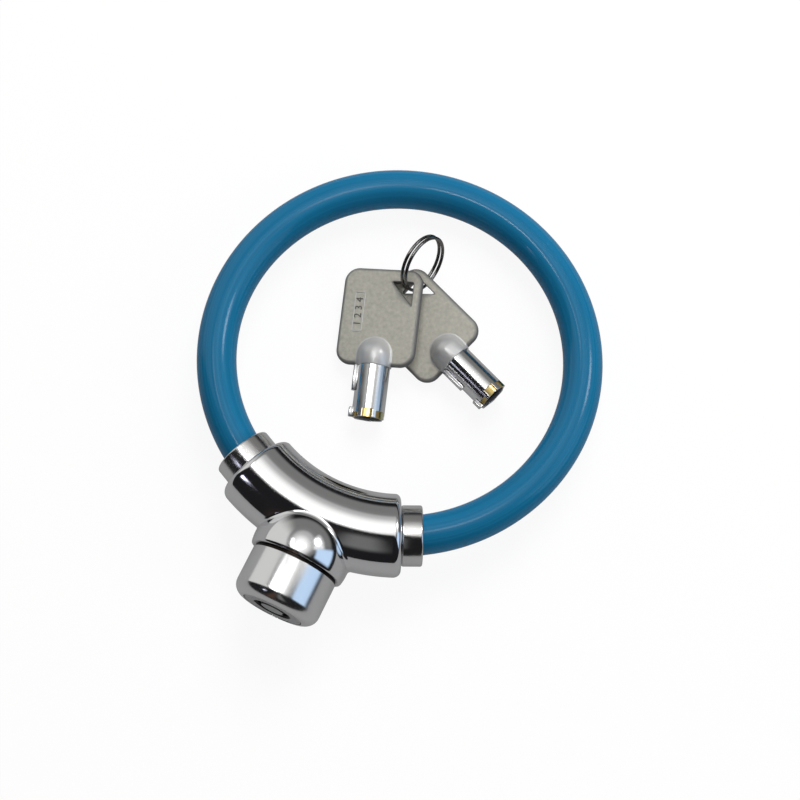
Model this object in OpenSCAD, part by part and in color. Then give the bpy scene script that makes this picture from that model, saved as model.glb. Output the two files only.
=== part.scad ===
// Ring cable lock with a tubular key cylinder, and its two keys on a split ring.
// The lock is drawn with its ring flat and its head towards -Y. It is then stood
// on its boss and on the far side of its cable, with the keys lying in the ring.

/* [Cable ring] */
// Radius of the ring's centre line
ring_r = 55.5; // [53:0.5:60]
// Radius of the cable over its jacket
cable_r = 6; // [5.6:0.1:6.4]
// Radius of the cable's steel core
core_r = 3.8; // [3:0.1:4.5]
// Angle from the head's axis to each end face of the body
end_angle = 25.6; // [24.8:0.1:26.4]

/* [Lock body] */
// Radius of the curved body
body_r = 12.3; // [12:0.1:12.5]
// Rounding of the body's end rims
rim_round = 2; // [1.2:0.1:2.4]
// How far the ball of the boss stands out around the cap
boss_wall = 1.6; // [1.5:0.1:2.4]
// Boss centre, outside the ring's centre line
boss_out = 12; // [11.6:0.1:12.4]
// Lip of the boss, outside the ring's centre line
lip_out = 15.5; // [14.9:0.1:15.9]
// Metal between the plug's bore and the cylinder's bore
floor_wall = 0.8; // [0.6:0.1:1]

/* [Ferrules] */
// Outer radius of a ferrule
ferrule_r = 9; // [8.4:0.1:9.4]
// Length of a ferrule
ferrule_len = 6.1; // [5.4:0.1:7]
// Depth of the cable's seat in a ferrule
ferrule_cup = 3; // [2.6:0.1:3.6]
// Chamfer on a ferrule's rims
ferrule_chamfer = 0.5; // [0.2:0.1:0.8]
// Radial room for the bent cable in its seat
cable_room = 0.6; // [0.5:0.1:0.8]
// Gap between the free ferrule and the body
ferrule_gap = 0.2; // [0.1:0.05:0.4]

/* [Plug and anchor] */
// Radius of the locking plug and of the anchor rod
plug_r = 4.3; // [4:0.1:4.5]
// Radial room for the plug, which swings in along a curve
plug_room = 0.7; // [0.6:0.05:0.8]
// Radius of the neck in the plug's groove
neck_r = 1.8; // [1.5:0.1:2]
// Length of the plug's head beyond its groove
plug_head = 1.7; // [1.2:0.1:2]
// Room behind the plug's head
plug_end_room = 0.6; // [0.4:0.1:0.8]
// Chamfer on the plug's head and at the mouth of its bore
plug_chamfer = 0.8; // [0.4:0.1:1]
// Length of the anchor rod inside the body
anchor_len = 14; // [12:0.5:15]
// Radius of the pin through the anchor rod
anchor_pin_r = 1.25; // [1:0.05:1.5]
// Depth of that pin behind the body's end face
anchor_pin_at = 8; // [6:0.5:10]

/* [Lock cylinder] */
// Radius of the cylinder's cap
cap_r = 13.2; // [13:0.1:13.4]
// Wall of the cap
cap_wall = 1.2; // [1:0.1:1.4]
// Front of the cap, outside the ring's centre line
face_out = 30.7; // [30:0.1:32]
// Rounding of the cap's front edge
cap_round = 3.9; // [3:0.1:3.9]
// Thickness of the cap's front wall
cap_front = 5.7; // [5:0.1:6.2]
// Radius of the barrel's face in the cap
face_r = 9.1; // [8.6:0.1:9.1]
// Radius of the keyway
keyway_r = 5.25; // [5.15:0.05:5.4]
// Depth of the keyway
keyway_depth = 9; // [8.5:0.1:9.5]
// Chamfer at the keyway's mouth
keyway_chamfer = 0.6; // [0.3:0.1:0.8]
// Depth of the keyway's collar, which the key's end nib passes
collar_depth = 5.6; // [5:0.1:6]
// Radius of the pin that holds the cylinder in the boss
holding_pin_r = 1.2; // [0.9:0.1:1.3]
// Depth of that pin in the barrel
holding_pin_depth = 2; // [1.5:0.1:2.4]

/* [Rotor and pins] */
// Radius of the bore for the rotor and the pin housing
housing_r = 8; // [7.6:0.1:8.4]
// Radius of the rotor's centre post
post_r = 3.9; // [3.7:0.05:3.95]
// Thickness of the rotor's flange
flange_len = 2.5; // [2.2:0.1:2.8]
// Radius of the rotor's spindle
spindle_r = 2.5; // [2.2:0.1:2.6]
// Width of the square that carries the cam
square_w = 3.4; // [3:0.1:3.5]
// Number of pin stacks
pin_count = 7; // [5:1:7]
// Radius of a pin
pin_r = 0.55; // [0.4:0.05:0.55]
// Radius of the circle of pins
pin_orbit = 4.6; // [4.55:0.05:4.65]
// Length of a driver pin
driver_len = 2.2; // [1.8:0.1:2.6]
// Depth of the holes for the springs and driver pins
stack_depth = 6.2; // [5.8:0.1:6.6]

/* [Locking cam] */
// Thickness of the cam
cam_t = 1.6; // [1.2:0.1:1.8]
// Radius of the cam's finger
finger_r = 1.2; // [1:0.1:1.3]
// Radius of the circle that the finger swings on
finger_orbit = 10.6; // [10.4:0.1:10.8]
// Radius of the cam screw's head
screw_head_r = 2.2; // [1.8:0.1:2.4]
// Height of the cam screw's head
screw_head_h = 1.2; // [0.8:0.1:1.4]
// Radius of the cam screw's shank
screw_r = 1; // [0.8:0.1:1.2]

/* [Keys] */
// Width of a key's bow
bow_w = 25; // [24:0.5:26]
// Height of a key's bow
bow_h = 30.4; // [29.4:0.2:31.4]
// Thickness of a key's bow
bow_t = 2.8; // [2.6:0.1:3]
// Corner radius of a key's bow
bow_corner = 4.6; // [4:0.1:5]
// Rounding along the bow's edge
bow_edge = 1.2; // [0.6:0.1:1.25]
// Radius of the collar where the barrel enters the bow
collar_r = 5.35; // [5.3:0.05:5.5]
// Length of the collar before its rounded end
collar_len = 3.2; // [2.6:0.1:3.6]
// Outer radius of a key's barrel
barrel_r = 5; // [4.85:0.05:5.05]
// Inner radius of a key's barrel
barrel_in_r = 4.15; // [4.1:0.05:4.2]
// Length of barrel outside the bow
barrel_len = 16.4; // [15.4:0.1:17.4]
// Length of barrel inside the bow
barrel_root = 4; // [3.8:0.1:4.2]
// Height of the nibs on a barrel
nib_h = 1; // [0.8:0.1:1.2]
// Width of the nibs
nib_w = 1.6; // [1.2:0.1:1.8]
// Length of the nib beside the bow
bow_nib_len = 8; // [7:0.1:8.4]
// Length of the nib at the tip
tip_nib_len = 3; // [2.4:0.1:3.2]
// Legs of the triangular hole for the split ring, across and along the key
hole_legs = [6.8, 7.4];
// Margins from the hole's right angle to the bow's side and top
hole_margins = [2.7, 4];

/* [Split ring] */
// Radius of the split ring's centre line
split_r = 8.8; // [8.6:0.1:9]
// Radius of its wire
split_wire_r = 0.5; // [0.4:0.05:0.5]
// Gap between its two turns
split_gap = 0.45; // [0.42:0.01:0.5]
// Half the angle over which the wire steps from one turn to the other
split_step = 20; // [14:1:26]

/* [Clearances] */
// Radial gap of pressed and seated pieces
fit = 0.05; // [0.03:0.01:0.08]
// Gap of pieces that turn or slide
slide = 0.1; // [0.06:0.01:0.15]
// Room around the cam and its finger
swing_room = 0.25; // [0.2:0.05:0.3]

/* [Hidden] */
$fn = 64;
over = 1;

// Stations along the head's axis, measured from the ring's centre
boss_a = ring_r + boss_out;
boss_r = cap_r + boss_wall;
lip_a = ring_r + lip_out;
face_a = ring_r + face_out;

// The plug's line is tangent to the ring at the body's end face. A point at the
// finger's orbit lies at depth plug_s along that line, and finger_level gives the
// station where the orbit is a height h off the line.
end_x = ring_r * sin(end_angle);
end_a = ring_r * cos(end_angle);
function finger_level(h) = end_a + (h + (end_x - finger_orbit) * sin(end_angle)) / cos(end_angle);
function plug_s(a) = (end_x - finger_orbit) * cos(end_angle) + (a - end_a) * sin(end_angle);
finger_tip_a = finger_level(neck_r + swing_room + finger_r * sin(end_angle));
groove_from = plug_s(finger_tip_a) - finger_r * cos(end_angle) - swing_room;
groove_to = plug_s(finger_level(plug_r)) + finger_r * cos(end_angle) + swing_room;
plug_len = groove_to + plug_head;
plug_bore_r = plug_r + plug_room;
plug_bore_len = plug_len + plug_end_room;

// Stations of the cylinder, from the floor of its bore to the keyway
floor_a = end_a + plug_bore_len * sin(end_angle) + plug_bore_r * cos(end_angle) + floor_wall;
cam_a = floor_a + swing_room;
barrel_a = cam_a + cam_t + swing_room;
barrel_face_a = face_a - slide;
flange_a = barrel_face_a - keyway_depth;
shear_a = flange_a - flange_len;
stack_a = shear_a - slide - stack_depth;
driver_a = shear_a - slide - driver_len;
cap_step_a = face_a - cap_front;
holding_pin_a = (barrel_a + lip_a) / 2;
cam_reach = finger_orbit + finger_r + 0.2;
turn = 360 / pin_count;
slot_pad = asin((finger_r + swing_room) / finger_orbit) + 1;

// Cuts of the key, one for each pin stack
cut_step = 0.4;
cuts = [for (i = [0:pin_count - 1]) cut_step * (1 + (i * 3) % 4)];

// Cable's seat: its ends lie in the ferrules, a little clear of their floors
cup_floor = ferrule_len - ferrule_cup;
cable_end_room = 0.6;
cable_from = end_angle + asin((ferrule_gap + cup_floor + cable_end_room) / ring_r);

// Standing: the ball of the boss and the far side of the cable touch the floor
tilt = asin((boss_r - cable_r) / (ring_r + boss_a));
lift = cable_r + ring_r * sin(tilt);
front_reach = (face_a - cap_round) * cos(tilt) + (cap_r - cap_round) * sin(tilt) + cap_round;
back_reach = ring_r * cos(tilt) + cable_r;
shift = (front_reach - back_reach) / 2;

// Places of the keys on the floor: x and y of the hole's corner, turn about Z, pitch and roll
key_1_pose = [-5.956, 35.377, 18.8, 4.5, -15];
key_2_pose = [-6.191, 38.801, 69, -2.5, -13];
key_1_z = barrel_len * sin(key_1_pose[3]) + barrel_r * cos(key_1_pose[3]);
key_2_z = collar_r * cos(key_2_pose[3]) - collar_len * sin(key_2_pose[3]);
split_centre = [-6.54, 42.03, 11.79];
split_turn = [0, 69.2, -10.2];
split_pitch = 2 * split_wire_r + split_gap;

module stand() {
    translate([0, shift, lift]) rotate([-tilt, 0, 0]) children();
}

// Local Z runs out along the head's axis, and local Y is the lock's up
module head() {
    stand() rotate([90, 0, 0]) children();
}

// Local Z runs into the body along a cable end's line: side 1 is the free end
module cable_end(side) {
    stand() translate([side * end_x, -end_a, 0]) rotate([90, 0, side * (end_angle - 90)]) children();
}

module pin_circle() {
    for (i = [0:pin_count - 1]) rotate([0, 0, i * turn]) translate([pin_orbit, 0, 0]) children();
}

module round_rod(r, from, to, chamfer) {
    translate([0, 0, from]) cylinder(r = r, h = to - chamfer - from);
    translate([0, 0, to - chamfer]) cylinder(r1 = r, r2 = r - chamfer, h = chamfer);
}

// A tube swept along a coil about Z, as rings of points given by angle and height
function coil_ring(r, wire, sides, at) =
    [for (k = [0:sides - 1]) let (v = 360 * k / sides)
        [(r + wire * cos(v)) * cos(at[0]), (r + wire * cos(v)) * sin(at[0]), at[1] + wire * sin(v)]];

function coil_gap(r, wire, ats) =
    min([for (p = ats, q = ats) if (q[0] - p[0] > 180)
        norm([r * (cos(q[0]) - cos(p[0])), r * (sin(q[0]) - sin(p[0])), q[1] - p[1]])]) - 2 * wire;

module coil(r, wire, sides, ats) {
    last = len(ats) - 1;
    points = [for (at = ats) each coil_ring(r, wire, sides, at)];
    walls = [for (i = [0:last - 1], k = [0:sides - 1])
        let (a = i * sides + k, b = i * sides + (k + 1) % sides)
        each [[a, b + sides, b], [a, a + sides, b + sides]]];
    first_cap = [for (k = [1:sides - 2]) [0, k, k + 1]];
    last_cap = [for (k = [1:sides - 2]) [last * sides, last * sides + k + 1, last * sides + k]];
    polyhedron(points = points, faces = concat(walls, first_cap, last_cap), convexity = 8);
}

module lock_body() {
    color("silver") difference() {
        union() {
            stand() rotate([0, 0, -90 - end_angle]) rotate_extrude(angle = 2 * end_angle)
                translate([ring_r, 0]) circle(body_r);
            head() intersection() {
                translate([0, 0, boss_a]) sphere(boss_r);
                translate([0, 0, ring_r]) cylinder(r = 2 * boss_r, h = lip_out);
            }
        }
        for (side = [-1, 1]) cable_end(side) rim_cut();
        cable_end(1) {
            translate([0, 0, -over]) cylinder(r = plug_bore_r, h = plug_bore_len + over);
            translate([0, 0, -over]) cylinder(r1 = plug_bore_r + plug_chamfer + over, r2 = plug_bore_r,
                h = plug_chamfer + over);
        }
        cable_end(-1) {
            translate([0, 0, -over]) cylinder(r = plug_r + fit, h = anchor_len + slide + over);
            anchor_pin_shape(anchor_pin_r + fit, over);
        }
        head() {
            translate([0, 0, floor_a]) cylinder(r = cam_reach + swing_room, h = lip_out);
            translate([0, 0, barrel_a]) cylinder(r = cap_r + fit, h = lip_out);
            translate([0, 0, lip_a - lip_groove]) cylinder(r = cap_r + lip_groove, h = lip_groove + over);
            translate([0, 0, cam_a - screw_head_h - 2 * swing_room])
                cylinder(r = screw_head_r + swing_room, h = lip_out);
            rotate([0, 0, -turn - slot_pad]) rotate_extrude(angle = turn + 2 * slot_pad)
                translate([finger_orbit - finger_r - swing_room, finger_tip_a - swing_room])
                    square([2 * (finger_r + swing_room), floor_a + over - finger_tip_a]);
            holding_pin_shape(holding_pin_r + fit, over);
        }
    }
}

// Groove that shows as a thin dark line between the cap and the lip
lip_groove = 0.45;

// Ring that rounds the rim of an end face. It crosses the body and the face at a
// slight angle, so that neither is only grazed.
rim_cross = 15;
module rim_cut() {
    inset = rim_round * cos(rim_cross);
    rotate_extrude() difference() {
        translate([body_r - inset, -over]) square([body_r, inset + over]);
        translate([body_r - inset, inset]) circle(rim_round);
    }
}

module anchor_pin_shape(r, below) {
    translate([0, -body_r + anchor_pin_sink - below, anchor_pin_at]) rotate([-90, 0, 0])
        cylinder(r = r, h = body_r - anchor_pin_sink + below + plug_r + anchor_pin_past);
}
anchor_pin_sink = 0.4;
anchor_pin_past = 1.6;

module holding_pin_shape(r, below) {
    inner = cap_r - cap_wall - holding_pin_depth;
    translate([0, -boss_r + holding_pin_sink - below, holding_pin_a]) rotate([-90, 0, 0])
        cylinder(r = r, h = boss_r - holding_pin_sink + below - inner);
}
holding_pin_sink = 0.5;

module ferrule(gap) {
    difference() {
        union() {
            round_rod(ferrule_r, -gap - ferrule_len + ferrule_chamfer, -gap, ferrule_chamfer);
            translate([0, 0, -gap - ferrule_len])
                cylinder(r1 = ferrule_r - ferrule_chamfer, r2 = ferrule_r, h = ferrule_chamfer);
        }
        translate([0, 0, -gap - ferrule_len - over])
            cylinder(r = cable_r + cable_room, h = ferrule_cup + over);
        translate([0, 0, -gap - ferrule_len]) cylinder(r = plug_r + fit, h = ferrule_len + over);
    }
}

module anchor_ferrule() {
    color("silver") cable_end(-1) ferrule(0);
}

module anchor_rod() {
    color("gray") cable_end(-1) difference() {
        round_rod(plug_r, -cup_floor, anchor_len, plug_chamfer);
        anchor_pin_shape(anchor_pin_r + fit, over);
    }
}

module anchor_pin() {
    color("dimgray") cable_end(-1) anchor_pin_shape(anchor_pin_r, 0);
}

module cable_arc() {
    stand() rotate([0, 0, -90 + cable_from]) rotate_extrude(angle = 360 - 2 * cable_from)
        translate([ring_r, 0]) children();
}

module cable_jacket() {
    color("steelblue") cable_arc() difference() {
        circle(cable_r);
        circle(core_r + fit);
    }
}

module cable_core() {
    color("gray") cable_arc() circle(core_r);
}

module free_ferrule() {
    color("silver") cable_end(1) ferrule(ferrule_gap);
}

module locking_plug() {
    color("gray") cable_end(1) difference() {
        round_rod(plug_r, -ferrule_gap - cup_floor, plug_len, plug_chamfer);
        translate([0, 0, groove_from]) difference() {
            cylinder(r = plug_r + over, h = groove_to - groove_from);
            cylinder(r = neck_r, h = groove_to - groove_from);
        }
    }
}

module cylinder_cap() {
    color("silver") head() difference() {
        rotate_extrude() {
            translate([0, barrel_a + slide]) square([cap_r, face_a - cap_round - barrel_a - slide]);
            translate([0, barrel_a + slide]) square([cap_r - cap_round, face_a - barrel_a - slide]);
            translate([cap_r - cap_round, face_a - cap_round]) circle(cap_round);
        }
        translate([0, 0, barrel_a - over])
            cylinder(r = cap_r - cap_wall, h = cap_step_a - barrel_a + over);
        translate([0, 0, barrel_a]) cylinder(r = face_r + slide, h = face_out);
        holding_pin_shape(holding_pin_r + fit, over);
    }
}

module lock_barrel() {
    nib_reach = barrel_r + nib_h + slide;
    color("darkgray") head() difference() {
        union() {
            translate([0, 0, barrel_a + slide])
                cylinder(r = cap_r - cap_wall - fit, h = cap_step_a - barrel_a - 2 * slide);
            translate([0, 0, barrel_a + slide])
                cylinder(r = face_r, h = barrel_face_a - barrel_a - slide);
        }
        translate([0, 0, barrel_a]) cylinder(r = housing_r, h = flange_a + slide - barrel_a);
        translate([0, 0, barrel_a]) cylinder(r = keyway_r, h = face_out);
        translate([0, 0, barrel_a]) cylinder(r = nib_reach, h = barrel_face_a - collar_depth - barrel_a);
        translate([0, 0, barrel_face_a - keyway_chamfer])
            cylinder(r1 = keyway_r, r2 = keyway_r + keyway_chamfer + over, h = keyway_chamfer + over);
        translate([-nib_reach, -nib_w / 2 - slide, flange_a]) cube([nib_reach, nib_w + 2 * slide, face_out]);
        holding_pin_shape(holding_pin_r + fit, over);
    }
}

module cylinder_pin() {
    color("dimgray") head() holding_pin_shape(holding_pin_r, 0);
}

module pin_housing() {
    color("goldenrod") head() difference() {
        translate([0, 0, barrel_a + slide])
            cylinder(r = housing_r - fit, h = shear_a - barrel_a - 2 * slide);
        translate([0, 0, barrel_a]) cylinder(r = spindle_r + slide, h = shear_a - barrel_a);
        pin_circle() translate([0, 0, stack_a]) cylinder(r = pin_r + slide, h = stack_depth + over);
    }
}

// Springs behind the driver pins
spring_wire_r = 0.12;
spring_turns = 4;
spring_sides = 5;
spring_rings = 7;
spring_from = stack_a + slide + spring_wire_r;
spring_to = driver_a - slide - spring_wire_r;
spring_r = pin_r - spring_wire_r;
spring_ats = [for (i = [0:spring_turns * spring_rings])
    [360 * i / spring_rings, spring_from + (spring_to - spring_from) * i / (spring_turns * spring_rings)]];
echo(spring_gap = coil_gap(spring_r, spring_wire_r, spring_ats));

module pin_springs() {
    color("lightgray") head() pin_circle() coil(spring_r, spring_wire_r, spring_sides, spring_ats);
}

module driver_pins() {
    color("gold") head() pin_circle() translate([0, 0, driver_a]) cylinder(r = pin_r, h = driver_len);
}

module rotor() {
    color("lightgray") head() difference() {
        union() {
            translate([0, 0, shear_a]) cylinder(r = housing_r - slide, h = flange_len);
            round_rod(post_r, shear_a, barrel_face_a, post_chamfer);
            translate([0, 0, cam_a + cam_t]) cylinder(r = spindle_r, h = shear_a - cam_a - cam_t + over);
            translate([-square_w / 2, -square_w / 2, cam_a])
                cube([square_w, square_w, shear_a - cam_a]);
        }
        pin_circle() translate([0, 0, shear_a - over]) cylinder(r = pin_r + slide, h = flange_len + 2 * over);
        translate([post_r - post_notch, -nib_w / 2, flange_a + over]) cube([post_r, nib_w, face_out]);
        translate([0, 0, cam_a - over]) cylinder(r = screw_r + fit, h = screw_len + slide + over);
    }
}
post_chamfer = 0.4;
post_notch = 0.9;

module key_pins() {
    color("gold") head() for (i = [0:pin_count - 1])
        rotate([0, 0, i * turn]) translate([pin_orbit, 0, shear_a])
            cylinder(r = pin_r, h = flange_len + cuts[i]);
}

module locking_cam() {
    hub_r = square_w;
    color("gray") head() translate([0, 0, cam_a]) rotate([0, 0, -turn]) difference() {
        union() {
            cylinder(r = hub_r, h = cam_t);
            translate([0, -finger_r - cam_rim, 0]) cube([finger_orbit, 2 * (finger_r + cam_rim), cam_t]);
            translate([finger_orbit, 0, 0]) intersection() {
                cylinder(r = finger_r + cam_rim, h = cam_t);
                translate([-finger_orbit, 0, 0]) cylinder(r = cam_reach, h = cam_t);
            }
        }
        rotate([0, 0, turn]) translate([-square_w / 2 - fit, -square_w / 2 - fit, -over])
            cube([square_w + 2 * fit, square_w + 2 * fit, cam_t + 2 * over]);
        translate([finger_orbit, 0, -over]) cylinder(r = finger_r + fit, h = cam_t + 2 * over);
    }
}
cam_rim = 0.8;

module locking_finger() {
    color("lightgray") head() rotate([0, 0, -turn]) translate([finger_orbit, 0, finger_tip_a])
        cylinder(r = finger_r, h = cam_a + cam_t - finger_tip_a);
}

module cam_screw() {
    color("dimgray") head() difference() {
        union() {
            translate([0, 0, cam_a - screw_head_h]) cylinder(r = screw_head_r, h = screw_head_h);
            translate([0, 0, cam_a - over / 2]) cylinder(r = screw_r, h = screw_len + over / 2);
        }
        translate([-screw_head_r, -screw_slot / 2, cam_a - screw_head_h - over])
            cube([2 * screw_head_r, screw_slot, over + screw_slot]);
    }
}
screw_len = 4;
screw_slot = 0.5;

// Corner of a bow's hole in the key's own frame, and where it comes to in x and y once laid down
hole_at = [bow_w / 2 - hole_margins[0], bow_h - hole_margins[1]];
function hole_reach(pose) =
    let (across = hole_at[0] * cos(pose[4]),
         along = hole_at[1] * cos(pose[3]) + hole_at[0] * sin(pose[4]) * sin(pose[3]))
    [across * cos(pose[2]) - along * sin(pose[2]), across * sin(pose[2]) + along * cos(pose[2])];

// A key lies with its barrel along -Y and its bow in XY, and is then laid down from the ring
module laid(pose, z) {
    reach = hole_reach(pose);
    translate([pose[0] - reach[0], pose[1] - reach[1], z]) rotate([0, 0, pose[2]])
        rotate([pose[3], 0, 0]) rotate([0, pose[4], 0]) children();
}

// Disc with a rounded edge, for the corners of the bow
module bow_corner_disc() {
    flat = bow_t / 2 - bow_edge;
    core = bow_corner - bow_edge;
    rotate_extrude($fn = 40) polygon([
        [0, -bow_t / 2],
        for (v = [-90:22.5:90]) [core + bow_edge * cos(v), (v < 0 ? -flat : flat) + bow_edge * sin(v)],
        [0, bow_t / 2]
    ]);
}

module key_bow() {
    difference() {
        union() {
            hull() for (x = [-1, 1], y = [bow_corner, bow_h - bow_corner])
                translate([x * (bow_w / 2 - bow_corner), y, 0]) bow_corner_disc();
            rotate([-90, 0, 0]) rotate_extrude() {
                translate([0, -collar_lip]) square([collar_r, collar_lip + collar_len]);
                intersection() {
                    translate([0, collar_len]) circle(collar_r);
                    translate([0, collar_len]) square(collar_r + over);
                }
            }
        }
        translate([0, -over, 0]) rotate([-90, 0, 0])
            cylinder(r = barrel_r + fit, h = barrel_root + slide + over);
        translate([0, 0, -bow_t]) linear_extrude(2 * bow_t) polygon([
            hole_at, hole_at - [hole_legs[0], 0], hole_at - [0, hole_legs[1]]
        ]);
    }
}

// The collar stands a little below the bow
collar_lip = 0.2;

module key_barrel() {
    nib_root = barrel_in_r + (barrel_r - barrel_in_r) / 2;
    rotate([90, 0, 0]) rotate([0, 0, barrel_spin]) {
        difference() {
            translate([0, 0, -barrel_root]) cylinder(r = barrel_r, h = barrel_root + barrel_len);
            translate([0, 0, barrel_floor])
                cylinder(r = barrel_in_r, h = barrel_len - barrel_floor + over);
            for (i = [0:pin_count - 1]) rotate([0, 0, -i * turn])
                translate([barrel_r + flute_r - flute_depth, 0, barrel_len - flute(i)])
                    cylinder(r = flute_r, h = flute(i) + over);
        }
        translate([-barrel_r - nib_h, -nib_w / 2, collar_lip + slide])
            cube([barrel_r + nib_h - nib_root, nib_w, bow_nib_len]);
        translate([-barrel_r - nib_h, -nib_w / 2, barrel_len - tip_nib_len])
            cube([barrel_r + nib_h - nib_root, nib_w, tip_nib_len]);
    }
}
barrel_floor = -2.8;

// The barrel sits turned in the bow by half a pin space, so its nibs stand out above the bow's middle
barrel_spin = -turn / 2;

// Flutes at the barrel's end, one for each pin stack, longer where the cut is deeper
flute_r = 6;
flute_depth = 0.5;
flute_base = 0.8;
flute_len = 1.1;
function flute(i) = flute_base + flute_len * cuts[i];

module key_1_bow() {
    color("darkgray") laid(key_1_pose, key_1_z) key_bow();
}

module key_1_barrel() {
    color("silver") laid(key_1_pose, key_1_z) key_barrel();
}

module key_2_bow() {
    color("darkgray") laid(key_2_pose, key_2_z) key_bow();
}

module key_2_barrel() {
    color("silver") laid(key_2_pose, key_2_z) key_barrel();
}

// Split ring: two turns, which the wire steps between over a short arc
split_sides = 8;
split_rings = 40;
split_skip = split_step + 2;
function eased(t) = t * t * (3 - 2 * t);
function split_height(v) =
    split_pitch * (eased(max(0, min(1, (v - 360 + split_step) / (2 * split_step)))) - 0.5);
split_ats = [for (i = [0:2 * split_rings])
    let (v = split_skip + (720 - 2 * split_skip) * i / (2 * split_rings)) [v, split_height(v)]];
echo(split_ring_gap = coil_gap(split_r, split_wire_r, split_ats));

module split_ring() {
    color("gray") translate(split_centre) rotate(split_turn) rotate([0, 0, split_spin])
        coil(split_r, split_wire_r, split_sides, split_ats);
}
split_spin = 292;

lock_body();
anchor_ferrule();
anchor_rod();
anchor_pin();
cable_jacket();
cable_core();
free_ferrule();
locking_plug();
cylinder_cap();
lock_barrel();
cylinder_pin();
pin_housing();
pin_springs();
driver_pins();
rotor();
key_pins();
locking_cam();
locking_finger();
cam_screw();
split_ring();
key_1_bow();
key_1_barrel();
key_2_bow();
key_2_barrel();
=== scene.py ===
# %% [markdown]
# # A ring cable lock and its two keys
#
# The lock is a short steel cable in a blue vinyl jacket, closed into a ring by a curved chrome body. A
# tubular key cylinder stands out of the body, and two keys lie inside the ring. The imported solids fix
# every size. This lesson dresses them: it works out smooth surfaces with numpy, because polished
# chrome shows every facet, and gives each piece a finish made of shader nodes.

import math

import bpy
import numpy as np
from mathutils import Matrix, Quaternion, Vector


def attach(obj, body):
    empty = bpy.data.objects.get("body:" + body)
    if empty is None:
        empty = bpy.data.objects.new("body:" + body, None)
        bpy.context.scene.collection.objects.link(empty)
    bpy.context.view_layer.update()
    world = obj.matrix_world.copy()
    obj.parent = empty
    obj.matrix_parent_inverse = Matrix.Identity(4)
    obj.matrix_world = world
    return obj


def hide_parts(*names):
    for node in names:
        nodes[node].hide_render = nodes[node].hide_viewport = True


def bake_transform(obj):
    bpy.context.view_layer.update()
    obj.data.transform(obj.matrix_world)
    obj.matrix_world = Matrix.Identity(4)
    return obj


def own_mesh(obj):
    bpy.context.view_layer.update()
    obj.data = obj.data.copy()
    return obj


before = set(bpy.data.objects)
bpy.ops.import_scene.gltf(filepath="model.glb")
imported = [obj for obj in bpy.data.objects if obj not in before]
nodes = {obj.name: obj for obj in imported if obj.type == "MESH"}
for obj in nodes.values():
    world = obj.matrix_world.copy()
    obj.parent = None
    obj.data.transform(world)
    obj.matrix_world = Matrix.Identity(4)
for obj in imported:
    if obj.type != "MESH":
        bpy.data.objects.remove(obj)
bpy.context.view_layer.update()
scene = bpy.context.scene
scene.view_settings.view_transform = "Standard"


def add(name, data):
    """A new object in the scene, at the origin."""
    made = bpy.data.objects.new(name, data)
    scene.collection.objects.link(made)
    return made


# %% [markdown]
# ## Camera
#
# The ring lies almost flat and the camera looks steeply down on it. A camera could be set by eye, but
# the ring's ellipse in the picture gives the viewing angle, and its change of width from near to far
# gives the distance. So it is written as a place, a point that it looks at and a small roll.

# %% Camera
LENS, SENSOR = 82.08, 36.0
CAMERA_AT = Vector((0.061278, -0.121176, 0.543024))
CAMERA_AIM = Vector((0.00531, 0.001349, 0.006681))
CAMERA_ROLL = math.radians(1.065)
camera = add("camera", bpy.data.cameras.new("camera"))
scene.camera = camera
camera.data.lens, camera.data.sensor_width = LENS, SENSOR
camera.location = CAMERA_AT
look = CAMERA_AIM - CAMERA_AT
roll = Quaternion((0, 0, 1), CAMERA_ROLL)
camera.rotation_euler = (look.to_track_quat("-Z", "Y") @ roll).to_euler()
print("camera stands", round(look.length, 3), "m from the middle of the lock")

# %% [markdown]
# ## The lock's own frame
#
# The solids were drawn with the ring flat, and then tipped a little so that the lock rests on its boss
# and on the far side of its cable. The same few sizes are repeated here. `stand` carries points in
# millimetres from that flat drawing to the scene, in metres, so that every shape below can be worked
# out flat, where its formula is plain.

# %% Sizes and frames
RING_R, CABLE_R = 55.5, 6.0
BODY_R, RIM_ROUND = 12.3, 2.0
BOSS_R, BOSS_A, LIP_A = 14.8, 67.5, 71.0
CAP_R, FACE_A, CAP_ROUND = 13.2, 86.2, 3.9
END_ANGLE = math.radians(25.6)
END_X, END_A = RING_R * math.sin(END_ANGLE), RING_R * math.cos(END_ANGLE)
TILT = math.asin((BOSS_R - CABLE_R) / (RING_R + BOSS_A))
LIFT = CABLE_R + RING_R * math.sin(TILT)
FRONT = (FACE_A - CAP_ROUND) * math.cos(TILT) + (CAP_R - CAP_ROUND) * math.sin(TILT) + CAP_ROUND
SHIFT = (FRONT - RING_R * math.cos(TILT) - CABLE_R) / 2


def stand(points):
    """Lock frame to scene: turn by the tilt about X, lift and shift, and millimetres to metres."""
    x, y, z = np.moveaxis(np.asarray(points, float), -1, 0)
    c, s = math.cos(TILT), math.sin(TILT)
    return np.stack([x, SHIFT + y * c + z * s, LIFT - y * s + z * c], -1) / 1000


def head(points):
    """Head frame to scene: local z runs out along the head's axis and local y is the lock's up."""
    x, y, z = np.moveaxis(np.asarray(points, float), -1, 0)
    return stand(np.stack([x, -z, y], -1))


def cable_end(side):
    """Frame of a cable end: local z runs into the body along the ring's tangent. Side 1 is the free end."""
    turn = side * (END_ANGLE - math.pi / 2)
    c, s = math.cos(turn), math.sin(turn)

    def place(points):
        """Local point to the scene: turned flat by the end's angle, then moved to the end."""
        x, y, z = np.moveaxis(np.asarray(points, float), -1, 0)
        return stand(np.stack([side * END_X + x * c + z * s, -END_A + x * s - z * c, y], -1))

    return place


print("tilt in degrees", round(math.degrees(TILT), 3))
print("lift and shift in mm", round(LIFT, 3), round(SHIFT, 3))

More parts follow.
